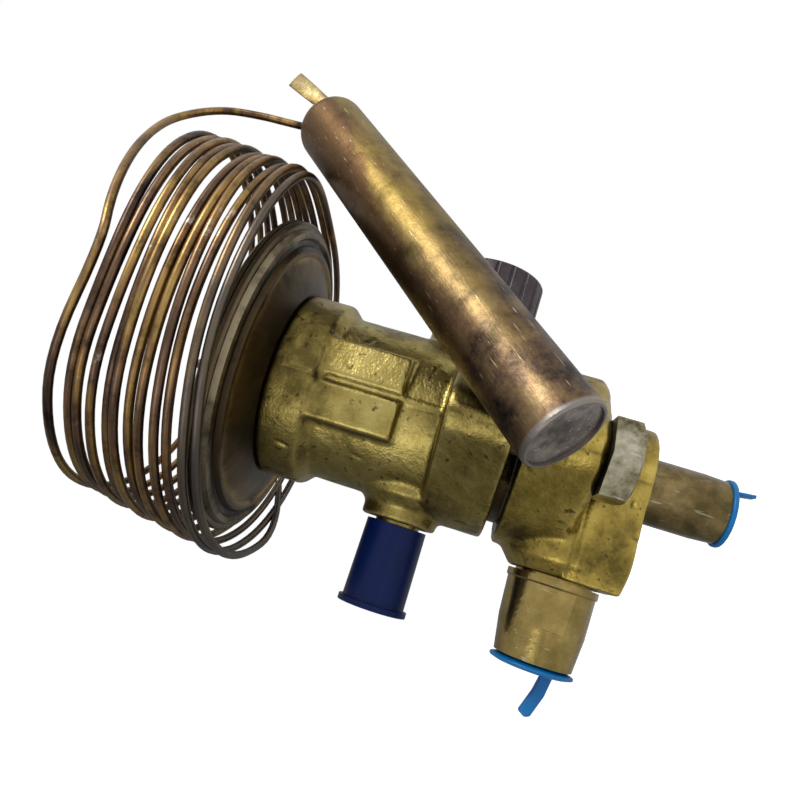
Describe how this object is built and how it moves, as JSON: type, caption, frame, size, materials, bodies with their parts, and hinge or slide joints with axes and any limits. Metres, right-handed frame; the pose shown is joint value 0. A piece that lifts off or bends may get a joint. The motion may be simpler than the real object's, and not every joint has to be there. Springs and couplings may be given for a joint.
{
  "type": "refrigerant expansion valve",
  "caption": "Forged brass refrigerant expansion valve with a diaphragm head, coiled capillary, sensing bulb, angle body and plastic shipping plugs.",
  "frame": {"origin": "on the valve's axis at the tube stop inside the inlet socket", "axes": "+Z is the valve's axis from the inlet to the head, +X is the axis of the outlet and the equalizer, +Y completes the frame along the pair of flange bolts"},
  "size_m": [0.1429, 0.1062, 0.1675],
  "materials": {
    "forged_brass": "shot-blasted forging with a soft sheen and brown tarnish",
    "bright_brass": "bright forged and machined brass with nicks",
    "bronze_tube": "turned and brownish, with small pits",
    "steel": "turned steel",
    "plated_steel": "zinc plated, dulled",
    "gasket_fibre": "pressed fibre sheet",
    "black_rubber": "matt",
    "dark_cap": "dark brown and satin",
    "browned_steel": "brown and worn bright on the edges",
    "navy_plastic": "smooth and glossy",
    "blue_plastic": "smooth and glossy",
    "stained_copper": "copper tube with golden and grey stains and scratches",
    "dark_copper": "darkened copper with worn highlights"
  },
  "bodies": {
    "valve": {"power_body": "forged_brass", "lower_body": "bright_brass", "inlet_connector": "bronze_tube", "outlet_connector": "bronze_tube", "equalizer_fitting": "bright_brass", "cage_body": "bright_brass", "seat_ring": "steel", "spring_retainer": "bright_brass", "lower_gasket": "gasket_fibre", "upper_gasket": "gasket_fibre", "seat_gasket": "gasket_fibre", "flange_bolts": "plated_steel", "rod_seal": "black_rubber", "stem_packing": "black_rubber", "gland_nut": "bright_brass", "head_base": "browned_steel", "head_cover": "browned_steel", "diaphragm": "steel", "superheat_spring": "steel", "cage_spring": "steel", "capillary_nipple": "bright_brass", "bulb_shell": "stained_copper", "bulb_end_cap": "stained_copper", "charge_stub": "bronze_tube", "capillary_coil": "dark_copper", "capillary_lead": "dark_copper", "capillary_tail": "dark_copper"},
    "needle_train": {"push_rod": "steel", "valve_needle": "steel", "buffer_plate": "steel"},
    "stem": {"adjusting_stem": "steel"},
    "gear": {"crown_gear": "steel"},
    "seat_plate": {"spring_seat": "steel"},
    "cap_washer": {"cap_gasket": "gasket_fibre"},
    "cap": {"seal_cap": "dark_cap"},
    "equalizer_cover": {"equalizer_cap": "navy_plastic"},
    "inlet_cover": {"inlet_plug": "blue_plastic"},
    "outlet_cover": {"outlet_plug": "blue_plastic"}
  },
  "joints": [
    {"name": "needle_stroke", "type": "slide", "parent": "valve", "child": "needle_train", "axis": [0, 0, -1], "range_m": [0, 0.001], "stiffness_N_per_m": 25000, "springref_m": -0.002, "deforming": ["superheat_spring", "cage_spring", "diaphragm"]},
    {"name": "stem_turn", "type": "hinge", "parent": "valve", "child": "stem", "pos_m": [-0.03, 0, 0.0572], "axis": [1, 0, 0], "range_deg": [-1800, 1800]},
    {"name": "gear_turn", "type": "hinge", "parent": "valve", "child": "gear", "pos_m": [0, 0, 0.064], "axis": [0, 0, 1], "range_deg": [-600, 600]},
    {"name": "seat_lift", "type": "slide", "parent": "valve", "child": "seat_plate", "axis": [0, 0, 1], "range_m": [-0.0025, 0.0025], "deforming": ["superheat_spring"]},
    {"name": "cap_unscrew", "type": "slide", "parent": "valve", "child": "cap_washer", "axis": [-1, 0, 0], "range_m": [0, 0.009]},
    {"name": "cap_turn", "type": "hinge", "parent": "cap_washer", "child": "cap", "pos_m": [-0.035, 0, 0.0572], "axis": [-1, 0, 0], "range_deg": [0, 2160]},
    {"name": "equalizer_cap_pull", "type": "slide", "parent": "valve", "child": "equalizer_cover", "axis": [1, 0, 0], "range_m": [0, 0.03]},
    {"name": "inlet_plug_pull", "type": "slide", "parent": "valve", "child": "inlet_cover", "axis": [0, 0, -1], "range_m": [0, 0.03]},
    {"name": "outlet_plug_pull", "type": "slide", "parent": "valve", "child": "outlet_cover", "axis": [1, 0, 0], "range_m": [0, 0.03]}
  ],
  "couplings": [
    {"joint": "stem_turn", "follows": "gear_turn", "ratio": 3},
    {"joint": "seat_lift", "follows": "gear_turn", "m_per_rad": 0.00023873},
    {"joint": "cap_unscrew", "follows": "cap_turn", "m_per_rad": 0.00023873}
  ]
}
